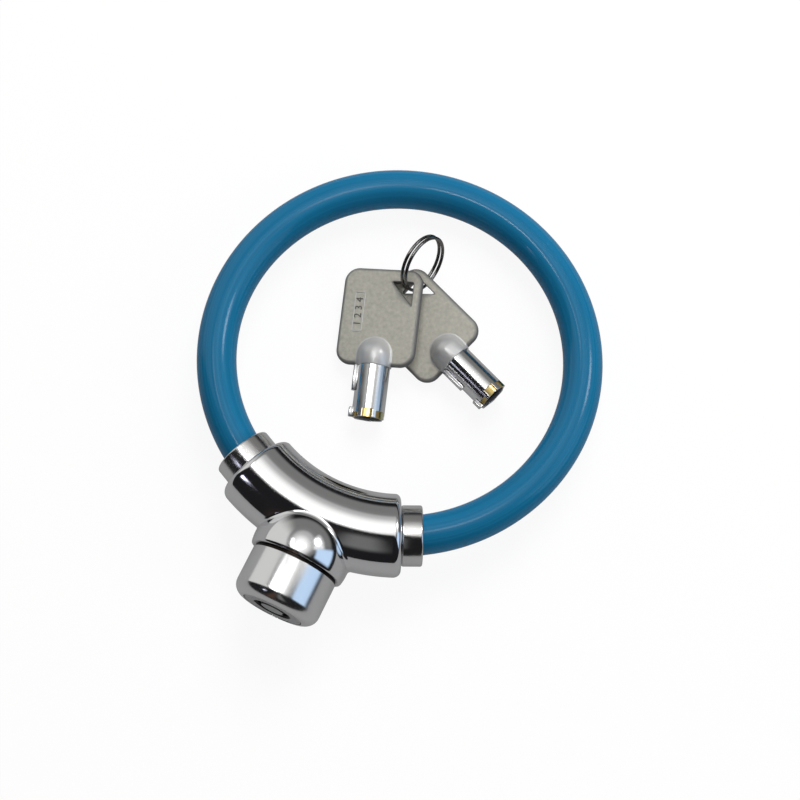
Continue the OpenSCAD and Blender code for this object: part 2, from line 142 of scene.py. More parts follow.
# %% [markdown]
# ## From arrays to meshes
#
# Blender's primitives and modifiers could make many of these pieces, but polished metal shows how the
# faces run, and a grid gives full control of that. So every new piece is a grid of points: rings of
# points, one after the other. A shell is such a grid with its faces. `shell` finds the faces by index
# arithmetic on whole arrays, closes the ends with flat faces, and turns the faces round if the shell's
# volume comes out negative, so that they always point outwards. `piece` puts one or more shells into
# an object that sits at the origin.

# %% Shells
def shell(rings, loop=False, marks=None):
    """Grid of rings (n, m, 3), closed around each ring, and closed end to end or with flat end faces."""
    n, m = rings.shape[:2]
    ring, spot = np.arange(n if loop else n - 1)[:, None], np.arange(m)[None, :]
    after, beside = (ring + 1) % n, (spot + 1) % m
    quads = [ring * m + spot, ring * m + beside, after * m + beside, after * m + spot]
    quads = np.stack(quads, -1).reshape(-1, 4)
    points = rings.reshape(-1, 3)
    a, b, c, d = (points[quads[:, q]] for q in range(4))
    volume = np.sum(np.cross(b - a, c - a) * a) + np.sum(np.cross(c - a, d - a) * a)
    ends = [] if loop else [np.arange(m)[::-1], (n - 1) * m + np.arange(m)]
    for end in ends:
        p = points[end]
        volume += np.sum(np.cross(p[1:-1] - p[0], p[2:] - p[0]) * p[0])
    faces = [*quads.tolist(), *[end.tolist() for end in ends]]
    faces = [f[::-1] for f in faces] if volume < 0 else faces
    return points, faces, marks or {}


# %% Pieces
CRISP = 40.0


def piece(name, shells, body, material, replaces=(), sharp=CRISP):
    """One object from shells, riding on a CAD body. Edges sharper than the angle in degrees stay crisp."""
    starts = np.cumsum([0] + [len(s[0]) for s in shells])
    faces = [[v + int(o) for v in f] for s, o in zip(shells, starts) for f in s[1]]
    mesh = bpy.data.meshes.new(name)
    mesh.from_pydata(np.concatenate([s[0] for s in shells]), [], faces)
    mesh.polygons.foreach_set("use_smooth", np.ones(len(faces), bool))
    for mark in sorted({k for s in shells for k in s[2]}):
        values = np.concatenate([np.ravel(s[2].get(mark, np.zeros(len(s[0])))) for s in shells])
        mesh.attributes.new(mark, "FLOAT", "POINT").data.foreach_set("value", values.astype(np.float32))
    mesh.set_sharp_from_angle(angle=math.radians(sharp))
    mesh.update()
    mesh.materials.append(material)
    made = add(name, mesh)
    if body:
        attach(made, body)
    if replaces:
        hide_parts(*replaces)
    print(name, "has", len(mesh.vertices), "points and", len(mesh.polygons), "faces")
    return made


# %% Outlines and turned shapes
def unit(vectors):
    """Rows of vectors brought to length one."""
    return vectors / np.linalg.norm(vectors, axis=1, keepdims=True)


def full_turn(steps):
    """Equal angles once round, in radians, without the last, which is the first again."""
    return np.linspace(0, 2 * math.pi, steps, endpoint=False)


def rounded(corners, steps=8):
    """Closed outline from (x, y, radius) corners: each corner becomes an arc tangent to both its sides."""
    corners = np.array(corners, float)
    at, radius = corners[:, :2], corners[:, 2:]
    before, after = unit(np.roll(at, 1, 0) - at), unit(np.roll(at, -1, 0) - at)
    half = np.arccos(np.clip(np.sum(before * after, 1, keepdims=True), -1, 1)) / 2
    centre = at + unit(before + after) * radius / np.sin(half)
    first, last = ((at + side * radius / np.tan(half) - centre)[:, None] for side in (before, after))
    t, swing = np.linspace(0, 1, steps)[:, None], (math.pi - 2 * half)[:, None]
    arcs = (np.sin((1 - t) * swing) * first + np.sin(t * swing) * last) / np.sin(swing)
    return (centre[:, None] + arcs).reshape(-1, 2)


def revolve(profile, steps, place):
    """Profile of (radius, height) turned about local z: x = r cos v, y = r sin v, z = height."""
    v, r, z = full_turn(steps), profile[:, :1], profile[:, 1:]
    return place(np.stack(np.broadcast_arrays(r * np.cos(v), r * np.sin(v), z), -1))


# %% [markdown]
# ## Finishes
#
# Image textures could dress the pieces, but they need files and unwrapping. Here each finish is a
# small node tree on Object coordinates instead, so its grain has a real size in metres. `node` adds a
# shader node and fills its inputs, and `mix` blends two colours. `finish` starts a material with them:
# two tones mixed by noise, a roughness that wanders a little, and a fine bump. Numbers that are the
# same all over the surface are set on the shader's own sockets.

# %% Node helpers
def node(tree, kind, *inputs, operation=None, **named):
    """Adds a shader node. Inputs are given in order or by name, as values or as other nodes' sockets."""
    made = tree.nodes.new("ShaderNode" + kind)
    if operation:
        made.operation = operation
    by_name = [(made.inputs[name.replace("_", " ")], value) for name, value in named.items()]
    for socket, value in [*zip(made.inputs, inputs), *by_name]:
        if isinstance(value, bpy.types.NodeSocket):
            tree.links.new(value, socket)
        else:
            socket.default_value = value
    return made


def mix(tree, amount, first, second):
    """Socket of a colour between two others, by a socket from nought to one. Colours may be sockets."""
    made = tree.nodes.new("ShaderNodeMix")
    made.data_type = "RGBA"
    tree.links.new(amount, made.inputs[0])
    for socket, colour in ((made.inputs[6], first), (made.inputs[7], second)):
        if isinstance(colour, bpy.types.NodeSocket):
            tree.links.new(colour, socket)
        else:
            socket.default_value = (*colour, 1)
    return made.outputs[2]


# %% Finish maker
def finish(name, tones, roughness, tone_scale, grain_scale, grain_depth=0.00001, metallic=1.0, **fixed):
    """Principled finish: tones mixed by cloudy noise, roughness between two values, bump from fine noise."""
    made = bpy.data.materials.new(name)
    made.use_nodes = True
    tree = made.node_tree
    shader = tree.nodes["Principled BSDF"].inputs
    shader["Metallic"].default_value = metallic
    for socket, value in fixed.items():
        shader[socket.replace("_", " ")].default_value = value
    where = node(tree, "TexCoord").outputs["Object"]
    clouds = node(tree, "TexNoise", Vector=where, Scale=tone_scale, Detail=4.0).outputs["Fac"]
    grain = node(tree, "TexNoise", Vector=where, Scale=grain_scale, Detail=3.0).outputs["Fac"]
    low, high = roughness
    gloss = node(tree, "MapRange", clouds, From_Min=0.3, From_Max=0.7, To_Min=low, To_Max=high)
    bump = node(tree, "Bump", Strength=1.0, Distance=grain_depth, Height=grain)
    tree.links.new(mix(tree, clouds, *tones), shader["Base Color"])
    tree.links.new(gloss.outputs["Result"], shader["Roughness"])
    tree.links.new(bump.outputs["Normal"], shader["Normal"])
    return made


def tint(made, amount, colour):
    """Mixes a finish's colour towards another, by a socket that gives nought to one."""
    tree = made.node_tree
    base = tree.nodes["Principled BSDF"].inputs["Base Color"]
    tree.links.new(mix(tree, amount, base.links[0].from_socket, colour), base)


def read_mark(made, mark):
    """Socket that reads a mark from the mesh's points."""
    read = node(made.node_tree, "Attribute")
    read.attribute_name = mark
    return read.outputs["Fac"]


# %% Finishes of the pieces
jacket_vinyl = finish(
    "jacket_vinyl", tones=[(0.007, 0.139, 0.281), (0.011, 0.159, 0.315)], roughness=(0.07, 0.12),
    tone_scale=45, grain_scale=700, grain_depth=0.000006, metallic=0.0, Specular_IOR_Level=0.25)
body_chrome = finish(
    "body_chrome", tones=[(0.80, 0.80, 0.82), (0.88, 0.88, 0.89)], roughness=(0.05, 0.12),
    tone_scale=60, grain_scale=160, grain_depth=0.000005)
cap_chrome = finish(
    "cap_chrome", tones=[(0.82, 0.82, 0.83), (0.88, 0.88, 0.89)], roughness=(0.16, 0.24),
    tone_scale=80, grain_scale=500, grain_depth=0.000008)
ferrule_chrome = finish(
    "ferrule_chrome", tones=[(0.74, 0.73, 0.73), (0.84, 0.83, 0.83)], roughness=(0.12, 0.22),
    tone_scale=120, grain_scale=600, grain_depth=0.000004)
bow_zinc = finish(
    "bow_zinc", tones=[(0.325, 0.319, 0.275), (0.675, 0.655, 0.573)], roughness=(0.42, 0.56),
    tone_scale=900, grain_scale=2400, grain_depth=0.00003, metallic=0.35)
collar_zinc = finish(
    "collar_zinc", tones=[(0.56, 0.56, 0.56), (0.66, 0.66, 0.66)], roughness=(0.32, 0.42),
    tone_scale=260, grain_scale=1400, metallic=0.5)
stamp_grey = finish(
    "stamp_grey", tones=[(0.10, 0.10, 0.095), (0.18, 0.175, 0.165)], roughness=(0.45, 0.6),
    tone_scale=600, grain_scale=2500, metallic=0.6)
ring_nickel = finish(
    "ring_nickel", tones=[(0.16, 0.155, 0.15), (0.30, 0.29, 0.27)], roughness=(0.16, 0.30),
    tone_scale=300, grain_scale=1500)
face_steel = finish(
    "face_steel", tones=[(0.40, 0.40, 0.415), (0.50, 0.50, 0.515)], roughness=(0.28, 0.40),
    tone_scale=400, grain_scale=2500, metallic=0.6, Specular_IOR_Level=0.15)
turned_steel = finish(
    "turned_steel", tones=[(0.40, 0.40, 0.41), (0.52, 0.52, 0.53)], roughness=(0.22, 0.36),
    tone_scale=300, grain_scale=1800)
pin_brass = finish(
    "pin_brass", tones=[(0.60, 0.42, 0.14), (0.75, 0.56, 0.22)], roughness=(0.22, 0.36),
    tone_scale=500, grain_scale=2500)
# Painted shade: the bow's rounded edges and the edge of its hole are darkened in its colour.
tint(bow_zinc, read_mark(bow_zinc, "rim"), (0.15, 0.15, 0.155))
# Painted shade: the groove round the cap is darkened to near black in its colour.
tint(cap_chrome, read_mark(cap_chrome, "gap"), (0.02, 0.016, 0.014))
print("finishes:", [m.name for m in bpy.data.materials])

# %% [markdown]
# ## The cable
#
# The cable comes out of the anchor ferrule, runs once round the ring and ends in the free ferrule. It
# is stiff, so it keeps its ring shape and needs no sag: its centre line is an arc with the ring's
# radius. The jacket is a tube on that arc, and its ends lie inside the ferrules. A curve with a bevel
# would give the same tube, but a grid can carry marks on its points. The die that the jacket was drawn
# through leaves faint lines of low relief along it, and a paler tone on the same lines is painted
# sheen. The finish reads the place round the section from two marks, and is the same all along the
# cable. When the lock is opened, the anchor half stays and the free half swings.

# %% Drawn lines and painted sheen of the jacket
def drawn_lines_and_sheen(made, scale, depth, pale):
    """Adds noise over the cosine and sine of the angle round the section: painted sheen and a low relief."""
    tree = made.node_tree
    normal = tree.nodes["Principled BSDF"].inputs["Normal"]
    place = node(tree, "CombineXYZ", read_mark(made, "round_cos"), read_mark(made, "round_sin"))
    lines = node(tree, "TexNoise", place.outputs[0], Scale=scale, Detail=1.5).outputs["Fac"]
    amount = node(tree, "MapRange", lines, From_Min=0.45, From_Max=0.8)
    tint(made, amount.outputs["Result"], pale)
    grain = normal.links[0].from_socket
    relief = node(tree, "Bump", Strength=1.0, Distance=depth, Height=lines, Normal=grain)
    tree.links.new(relief.outputs[0], normal)


# The paler tone along the lines is painted sheen; the low relief is the die's lines.
drawn_lines_and_sheen(jacket_vinyl, scale=7.0, depth=0.000012, pale=(0.014, 0.185, 0.36))
print("jacket finish has", len(jacket_vinyl.node_tree.nodes), "nodes")

# %% Cable jacket
CUP_FLOOR, FERRULE_GAP, CABLE_END_ROOM, END_ROUND = 3.1, 0.2, 0.6, 0.7
CABLE_STEPS, CABLE_SIDES = 241, 64
CABLE_FROM = END_ANGLE + math.asin((FERRULE_GAP + CUP_FLOOR + CABLE_END_ROOM) / RING_R)


def ring_point(angle, out, up):
    """Point at an angle from the head's axis, so far out from the centre line and so far up."""
    r = RING_R + out
    return stand(np.stack(np.broadcast_arrays(r * np.sin(angle), -r * np.cos(angle), up), -1))


along = np.linspace(-CABLE_FROM, CABLE_FROM - 2 * math.pi, CABLE_STEPS)
bend = np.linspace(0, math.pi / 2, 6)
inset, drawn_in = END_ROUND / RING_R * (1 - np.cos(bend)), END_ROUND * (1 - np.sin(bend))
stations = np.concatenate([along[0] - inset, along[1:-1], along[-1] + inset[::-1]])[:, None]
radii = CABLE_R - np.concatenate([drawn_in, np.zeros(CABLE_STEPS - 2), drawn_in[::-1]])[:, None]
about = full_turn(CABLE_SIDES)
tube = ring_point(stations, radii * np.cos(about), radii * np.sin(about))
round_marks = {
    "round_cos": np.tile(np.cos(about), len(stations)),
    "round_sin": np.tile(np.sin(about), len(stations)),
}
jacket = shell(tube, marks=round_marks)
cable = piece("cable", [jacket], None, jacket_vinyl, ["cable_jacket", "cable_core"])
cable_path = ring_point(along, 0.0, 0.0)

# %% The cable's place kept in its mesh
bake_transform(cable)

# %% [markdown]
# ## The body
#
# The body is a bent tube with rounded rims, and a ball-shaped boss grows out of its middle. The tube
# is rings along the arc whose radius falls off at both ends like a quarter circle. The boss is a
# profile turned about the head's axis. Bores and the cam's slot are cut with a boolean, whose result
# is kept as plain mesh. Another boolean could join ball and tube, but it would break up their even
# grids, so they only overlap. A concave fillet then follows the line where ball and tube meet, because
# a casting has no sharp inner corner there, and chrome shows that fillet as a bright rim.

# %% Cutting helpers
def settled(made):
    """Mesh of an object as it stands with its modifiers, or with the settings of its text."""
    bpy.context.view_layer.update()
    graph = bpy.context.evaluated_depsgraph_get()
    return bpy.data.meshes.new_from_object(made.evaluated_get(graph))


def cut(target, cutters):
    """Takes the cutters out of the target with exact booleans, and keeps the result as its mesh."""
    for tool in cutters:
        step = target.modifiers.new("cut", "BOOLEAN")
        step.operation, step.solver, step.object = "DIFFERENCE", "EXACT", tool
    result = settled(target)
    target.modifiers.clear()
    target.data = result


def cutter(rings):
    """A shell as a loose object that only cuts."""
    points, faces, _ = shell(rings)
    mesh = bpy.data.meshes.new("cutter")
    mesh.from_pydata(points, [], faces)
    return add("cutter", mesh)


def rod(radius, low, high, place, steps, turn=None):
    """Rings of a plain rod along local z, or along local y where turn is given as its z station."""
    rings = revolve(np.array([[radius, low], [radius, high]]), steps, lambda p: p)
    if turn is not None:
        rings = np.stack([rings[..., 0], rings[..., 2], turn - rings[..., 1]], -1)
    return place(rings)


# %% Body tube
RIM_STEPS, SPAN_STEPS, TURN_STEPS = 14, 95, 160
quarter = np.linspace(0, math.pi / 2, RIM_STEPS)
rim_at = END_ANGLE - RIM_ROUND / RING_R * (1 - np.sin(quarter))
rim_radius = BODY_R - RIM_ROUND * (1 - np.cos(quarter))
span = np.linspace(-rim_at[0], rim_at[0], SPAN_STEPS + 2)[1:-1]
spine = np.stack([np.concatenate([-rim_at[::-1], span, rim_at]),
                  np.concatenate([rim_radius[::-1], np.full(SPAN_STEPS, BODY_R), rim_radius])], -1)
around = full_turn(TURN_STEPS)
tube_rings = ring_point(spine[:, :1], spine[:, 1:] * np.cos(around), spine[:, 1:] * np.sin(around))
body_tube = piece("body_tube", [shell(tube_rings)], None, body_chrome)

# %% Boss
BALL_END, LIP_EASE = math.radians(150), 0.035
lip_at = math.acos((LIP_A - BOSS_A) / BOSS_R)
polar = np.linspace(BALL_END, lip_at + LIP_EASE, 64)
ball = np.stack([BOSS_R * np.sin(polar), BOSS_A + BOSS_R * np.cos(polar)], -1)
lip_r = BOSS_R * math.sin(lip_at)
lip = np.array([[lip_r + 0.02, LIP_A - 0.28], [lip_r - 0.06, LIP_A - 0.1], [lip_r - 0.22, LIP_A],
                [0.4, LIP_A]])
boss_profile = np.concatenate([ball, lip])
boss = piece("body_boss", [shell(revolve(boss_profile, TURN_STEPS, head))], None, body_chrome)

# %% Bores and slot of the body
SLOT_FROM, SLOT_TO = math.radians(-62.0), math.radians(10.6)
SLOT_IN, SLOT_OUT, SLOT_BACK, SLOT_FRONT = 9.15, 12.05, 58.95, 66.0
sweep = np.linspace(SLOT_FROM, SLOT_TO, 25)[:, None]
slot_r = np.array([SLOT_IN, SLOT_OUT, SLOT_OUT, SLOT_IN])
slot_a = np.array([SLOT_BACK, SLOT_BACK, SLOT_FRONT, SLOT_FRONT])
slot_rings = head(np.stack(np.broadcast_arrays(slot_r * np.cos(sweep), slot_r * np.sin(sweep), slot_a), -1))

# The stepped bore under the cap, as rows of radius, start and end along the head's axis:
# the screw's well, the cam's room, the cap's seat and the open mouth.
BORE_STEPS = np.array([
    (2.45, 62.7, 64.23), (12.3, 64.23, 66.31), (13.25, 66.31, 70.55), (13.65, 70.55, 75.0)])
AXIS_HOLE = 0.5
walls = np.stack([np.repeat(BORE_STEPS[:, 0], 2), BORE_STEPS[:, 1:].ravel()], -1)
cavity = np.concatenate([[[AXIS_HOLE, BORE_STEPS[0, 1]]], walls, [[AXIS_HOLE, BORE_STEPS[-1, 2]]]])

free_side, anchor_side = cable_end(1), cable_end(-1)
PLUG_BORE, PLUG_DEPTH, MOUTH_LEAD, OVER = 5.0, 20.6, 0.8, 1.0
ROD_BORE, ROD_DEPTH = 4.35, 14.1
ANCHOR_PIN_R, ANCHOR_PIN_AT, ANCHOR_PIN_SPAN = 1.3, 8.0, (-13.0, 6.0)
CYLINDER_PIN_R, CYLINDER_PIN_AT, CYLINDER_PIN_SPAN = 1.25, 68.65, (-16.0, -9.9)
WIDE_TURN, BORE_TURN, PIN_TURN = 128, 96, 48
mouth = np.array([[PLUG_BORE + MOUTH_LEAD + OVER, -OVER], [PLUG_BORE, MOUTH_LEAD], [PLUG_BORE, PLUG_DEPTH]])
cutters = [
    cutter(slot_rings),
    cutter(revolve(cavity, WIDE_TURN, head)),
    cutter(revolve(mouth, BORE_TURN, free_side)),
    cutter(rod(ROD_BORE, -OVER, ROD_DEPTH, anchor_side, BORE_TURN)),
    cutter(rod(ANCHOR_PIN_R, *ANCHOR_PIN_SPAN, anchor_side, PIN_TURN, turn=ANCHOR_PIN_AT)),
    cutter(rod(CYLINDER_PIN_R, *CYLINDER_PIN_SPAN, head, PIN_TURN, turn=CYLINDER_PIN_AT)),
]
for part in (body_tube, boss):
    cut(part, cutters)
    part.data.set_sharp_from_angle(angle=math.radians(CRISP))
    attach(part, "lock")
for used in cutters:
    bpy.data.objects.remove(used)
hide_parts("lock_body")
print("faces after the cuts:", [len(part.data.polygons) for part in (body_tube, boss)])


# %% Fillet between ball and tube
def boss_seam(steps):
    """Where the ball meets the tube, found on each meridian by halving, with both surfaces' normals."""
    v = full_turn(steps)
    low, high = np.full(steps, lip_at), np.full(steps, BALL_END)
    for _ in range(40):
        mid = (low + high) / 2
        p = meridian(v, mid)
        outside = np.hypot(np.hypot(p[:, 0], p[:, 1]) - RING_R, p[:, 2]) > BODY_R
        low, high = np.where(outside, mid, low), np.where(outside, high, mid)
    p = meridian(v, low)
    ball_normal = (p - [0, -BOSS_A, 0]) / BOSS_R
    middle = unit(p * [1, 1, 0]) * RING_R
    return p, ball_normal, (p - middle) / BODY_R


def meridian(v, p):
    """Point of the ball in the lock frame, at an angle about the head's axis and from that axis."""
    r = BOSS_R * np.sin(p)
    return np.stack([r * np.cos(v), -(BOSS_A + BOSS_R * np.cos(p)), r * np.sin(v)], -1)


def concave(points, up_a, up_b, reach, bow_a, bow_b, steps=9, sink=0.06, dip=0.01):
    """Rings of a fillet: from reach along one wall to reach along the other, bent in towards the corner.
    A wall that is itself curved drops away from its tangent by reach squared over twice its radius."""
    along_a = unit(np.cross(np.cross(up_a, up_b), up_a))
    along_b = unit(np.cross(np.cross(up_b, up_a), up_b))
    corner = points - sink * (up_a + up_b)
    first = points + reach * along_a - up_a * (reach**2 / (2 * bow_a) + dip)
    last = points + reach * along_b - up_b * (reach**2 / (2 * bow_b) + dip)
    t = np.linspace(0, 1, steps)[None, :, None]
    bend = (1 - t) ** 2 * first[:, None] + 2 * t * (1 - t) * points[:, None] + t**2 * last[:, None]
    return np.concatenate([bend, corner[:, None]], 1)


FILLET_REACH = 1.1
seam, ball_normal, tube_normal = boss_seam(240)
fillet = concave(seam, tube_normal, ball_normal, FILLET_REACH, BODY_R, BOSS_R)
piece("boss_fillet", [shell(stand(fillet), loop=True)], "lock", body_chrome)

# %% [markdown]
# ## Ferrules and the cylinder's cap
#
# These are turned parts, so each is one rounded outline carried about an axis. The ferrules are cups
# that hold the cable's ends. The cap is a deep cup with a generously rounded front edge, and its front
# hole shows the barrel's face with the keyway. A Screw modifier could turn them too, but here the groove
# round the cap gets its mark of painted shade straight from the outline, which darkens it to near black.

# %% Ferrules
FERRULE_R, FERRULE_LEN, CUP_R, CUP_DEPTH, ANCHOR_GAP = 9.0, 6.1, 6.6, 3.0, 0.02


def ferrule_outline(gap):
    """Closed outline of a ferrule: rod hole, body-side face, wall, mouth and cable cup."""
    back, front = -gap - FERRULE_LEN, -gap
    floor = back + CUP_DEPTH
    return rounded([(ROD_BORE, front, 0.1), (FERRULE_R, front, 0.5), (FERRULE_R, back, 0.6),
                    (CUP_R, back, 0.35), (CUP_R, floor, 0.3), (ROD_BORE, floor, 0.1)])


for end, body, gap, place in (
    ("anchor", "lock", ANCHOR_GAP, anchor_side),
    ("free", "free_end", FERRULE_GAP, free_side),
):
    turned = shell(revolve(ferrule_outline(gap), WIDE_TURN, place), loop=True)
    piece(end + "_ferrule_turned", [turned], body, ferrule_chrome, [end + "_ferrule"])

# %% Cylinder cap
CAP_IN, CAP_BACK, FACE_HOLE, FACE_BACK = 12.0, 66.45, 9.32, 80.5
GROOVE_R, GROOVE_A, GROOVE_REACH = 12.85, 71.3, 0.8
cap_outline = rounded([
    (CAP_IN, CAP_BACK, 0.1), (CAP_R, CAP_BACK, 0.3), (CAP_R, 70.8, 0.05), (GROOVE_R, 70.9, 0.05),
    (GROOVE_R, 71.75, 0.05), (CAP_R, 71.95, 0.12), (CAP_R, FACE_A, CAP_ROUND - 0.05),
    (FACE_HOLE, FACE_A, 0.12), (FACE_HOLE, FACE_BACK, 0.1), (CAP_IN, FACE_BACK, 0.1)], 14)
# Mark of painted shade for the groove round the cap.
painted_groove_shade = (cap_outline[:, :1] < CAP_R - 0.1) & (np.abs(cap_outline[:, 1:] - GROOVE_A) < GROOVE_REACH)
cap_shade_marks = {"gap": np.repeat(painted_groove_shade, TURN_STEPS, 1)}
cap = shell(revolve(cap_outline, TURN_STEPS, head), True, cap_shade_marks)
piece("cap_turned", [cap], "lock", cap_chrome, ["cylinder_cap"])

# %% [markdown]
# ## The keys
#
# A key is a flat cast bow with rounded edges, a triangular hole for the split ring and a domed collar
# that holds the tubular barrel. A bevelled plate with a boolean hole would do, but its faces would be
# long and uneven. So the bow is one closed grid: each ring is an outline found by casting rays from
# the hole's middle, first over the rounded edge, then in over the face to the hole, through it and
# back on the other side.

# %% Key places
BOW_W, BOW_H, BOW_T, BOW_CORNER, BOW_EDGE = 25.0, 30.4, 2.8, 4.6, 1.2
COLLAR_R, COLLAR_LEN, COLLAR_LIP = 5.35, 3.2, 0.2
EDGE_REACH, FACE_REACH, FLAT_BOW = 0.12, 0.8, 100.0
BARREL_R, BARREL_IN, BARREL_LEN, BARREL_ROOT, BARREL_FLOOR = 5.0, 4.15, 16.4, 4.0, 2.8
HOLE_SIDE, HOLE_TOP, HOLE_W, HOLE_H = BOW_W / 2 - 2.7, BOW_H - 4.0, 6.8, 7.4
HOLE_CORNER, HOLE_EDGE = 0.5, 0.25
HOLE = np.array([(HOLE_SIDE, HOLE_TOP), (HOLE_SIDE - HOLE_W, HOLE_TOP), (HOLE_SIDE, HOLE_TOP - HOLE_H)])
PINS, CUT_STEP = 7, 0.4
CUTS = CUT_STEP * (1 + (np.arange(PINS) * 3) % 4)
PIN_SPACE = 2 * math.pi / PINS
BARREL_SPIN, FLUTE_R, FLUTE_DEPTH, NIB_H = -PIN_SPACE / 2, 6.0, 0.5, 1.0


def turn_about(axis, degrees):
    """Matrix of a turn about axis 0, 1 or 2: the two others mix by the cosine and the sine."""
    c, s = math.cos(math.radians(degrees)), math.sin(math.radians(degrees))
    first, second = (axis + 1) % 3, (axis + 2) % 3
    matrix = np.eye(3)
    matrix[first, first], matrix[second, second] = c, c
    matrix[first, second], matrix[second, first] = -s, s
    return matrix


def laid(x, y, z, yaw, pitch, roll):
    """Key frame to scene: roll about Y, pitch about X, turn about Z, then move. Angles in degrees."""
    turn = turn_about(2, yaw) @ turn_about(0, pitch) @ turn_about(1, roll)
    return lambda points: (np.asarray(points, float) @ turn.T + [x, y, z]) / 1000


PITCH_1, PITCH_2 = 4.5, -2.5
lean_1, lean_2 = math.radians(PITCH_1), math.radians(-PITCH_2)
key_1_z = BARREL_LEN * math.sin(lean_1) + BARREL_R * math.cos(lean_1)
key_2_z = COLLAR_R * math.cos(lean_2) + COLLAR_LEN * math.sin(lean_2)
key_places = {
    "key_1": laid(-6.5, 7.6, key_1_z, yaw=18.8, pitch=PITCH_1, roll=-15),
    "key_2": laid(15.1, 20.4, key_2_z, yaw=69, pitch=PITCH_2, roll=-13),
}
print("keys stand at heights", round(key_1_z, 3), round(key_2_z, 3), "mm")


# %% Outlines of a bow
def bow_side(p, inset):
    """Signed distance to the bow's rounded rectangle, drawn in by the inset."""
    q = np.abs(p - [0, BOW_H / 2]) - [BOW_W / 2 - BOW_CORNER, BOW_H / 2 - BOW_CORNER]
    return np.linalg.norm(np.maximum(q, 0), axis=-1) + np.minimum(q.max(-1), 0) - BOW_CORNER + inset


def hole_side(p, grow):
    """Signed distance to the triangular hole with small round corners, made larger by grow."""
    to = unit(np.roll(HOLE, -1, 0) - HOLE)
    normal = np.stack([-to[:, 1], to[:, 0]], -1)
    far = np.sum((p[..., None, :] - HOLE) * -normal, -1) + HOLE_CORNER
    return np.linalg.norm(np.maximum(far, 0), axis=-1) + np.minimum(far.max(-1), 0) - HOLE_CORNER - grow


def outline(side, amount, angles, centre, reach):
    """Points where rays from the centre cross a closed outline, found by halving."""
    ray = np.stack([np.cos(angles), np.sin(angles)], -1)
    low, high = np.zeros(len(angles)), np.full(len(angles), reach)
    for _ in range(36):
        mid = (low + high) / 2
        inside = side(centre + mid[:, None] * ray, amount) < 0
        low, high = np.where(inside, mid, low), np.where(inside, high, mid)
    return centre + low[:, None] * ray


# %% Grid of a bow
def bow_rings(rays=720):
    """One closed grid over edge, face, hole and back: rings of (x, y, z) around the hole's middle."""
    centre = HOLE.mean(0)
    angles = full_turn(rays)
    bend = np.linspace(-math.pi / 2, math.pi / 2, 17)
    edge = [(outline(bow_side, BOW_EDGE * (1 - math.cos(b)), angles, centre, 60),
             math.copysign(BOW_T / 2 - BOW_EDGE, b) + BOW_EDGE * math.sin(b)) for b in bend]
    hole = [(outline(hole_side, HOLE_EDGE * (1 - math.cos(b)), angles, centre, 12),
             math.copysign(BOW_T / 2 - HOLE_EDGE, b) + HOLE_EDGE * math.sin(b)) for b in bend[::-2]]
    fade = np.linspace(0, 1, 14)[1:-1]
    outer, inner = edge[-1][0], hole[0][0]
    face = [((1 - f) * outer + f * inner, BOW_T / 2) for f in fade]
    back = [(f * outer + (1 - f) * inner, -BOW_T / 2) for f in fade]
    rows = edge + face + hole + back
    plain = np.zeros(len(fade))
    # A mark of painted shade: darkest on the outermost line of the rounded edge, and along the hole's edge.
    rim = np.concatenate([np.cos(bend) ** 0.7, plain, np.full(len(hole), 0.8), plain])
    rings = np.stack([np.concatenate([xy, np.full((rays, 1), z)], 1) for xy, z in rows])
    return rings, {"rim": np.repeat(rim[:, None], rays, 1)}


# %% Collars
def collar_rings():
    """Domed collar about local y: bore edge, wall and a quarter-round end."""
    dome = np.linspace(0, math.pi / 2 - 0.02, 24)
    profile = np.concatenate([
        [[BARREL_R + 0.06, 4.0], [BARREL_R + 0.06, -COLLAR_LIP + 0.08], [BARREL_R + 0.14, -COLLAR_LIP],
         [COLLAR_R - 0.2, -COLLAR_LIP], [COLLAR_R - 0.05, -COLLAR_LIP + 0.06], [COLLAR_R, -COLLAR_LIP + 0.2]],
        np.stack([COLLAR_R * np.cos(dome), COLLAR_LEN + COLLAR_R * np.sin(dome)], -1)])
    return revolve(profile, BORE_TURN, lambda p: np.stack([p[..., 0], p[..., 2], -p[..., 1]], -1))


def collar_fillet():
    """Concave fillet all round the collar: over the bow's front, down its rounded edge and along its back."""
    edge = np.linspace(0, math.pi / 2, 9)
    straight = np.linspace(BOW_EDGE, COLLAR_LEN, 8)[1:-1]
    dome = np.linspace(0, math.pi, 40)[:20]
    level = np.ones(len(straight) + len(dome))
    z = np.concatenate([BOW_T / 2 - BOW_EDGE * (1 - np.sin(edge)), BOW_T / 2 * level])
    lean = np.concatenate([edge, math.pi / 2 * level])
    half = np.sqrt(COLLAR_R**2 - z**2)
    x = np.concatenate([half[:-len(dome)], half[-1] * np.cos(dome)])
    y = np.concatenate([BOW_EDGE * (1 - np.cos(edge)), straight, COLLAR_LEN + half[-1] * np.sin(dome)])
    right = np.stack([x, y, z, np.cos(lean), np.sin(lean)], -1)
    front = np.concatenate([right, right[::-1] * [-1, 1, 1, 1, 1]])
    path = np.concatenate([front, front[::-1] * [1, 1, -1, 1, -1]])
    points, none = path[:, :3], np.zeros(len(path))
    up = np.stack([none, -path[:, 3], path[:, 4]], -1)
    axis = np.stack([none, np.minimum(points[:, 1], COLLAR_LEN), none], -1)
    reach = EDGE_REACH + (FACE_REACH - EDGE_REACH) * path[:, 4:] ** 2
    return concave(points, up, (points - axis) / COLLAR_R, reach, FLAT_BOW, COLLAR_R)


# %% Bows with their collars
for key, place in key_places.items():
    rings, marks = bow_rings()
    bow = shell(place(rings), True, marks)
    piece(key + "_bow_cast", [bow], key, bow_zinc, [key + "_bow"], sharp=35)
    collar = [shell(place(collar_rings())), shell(place(collar_fillet()), loop=True)]
    piece(key + "_collar", collar, key, collar_zinc, sharp=35)

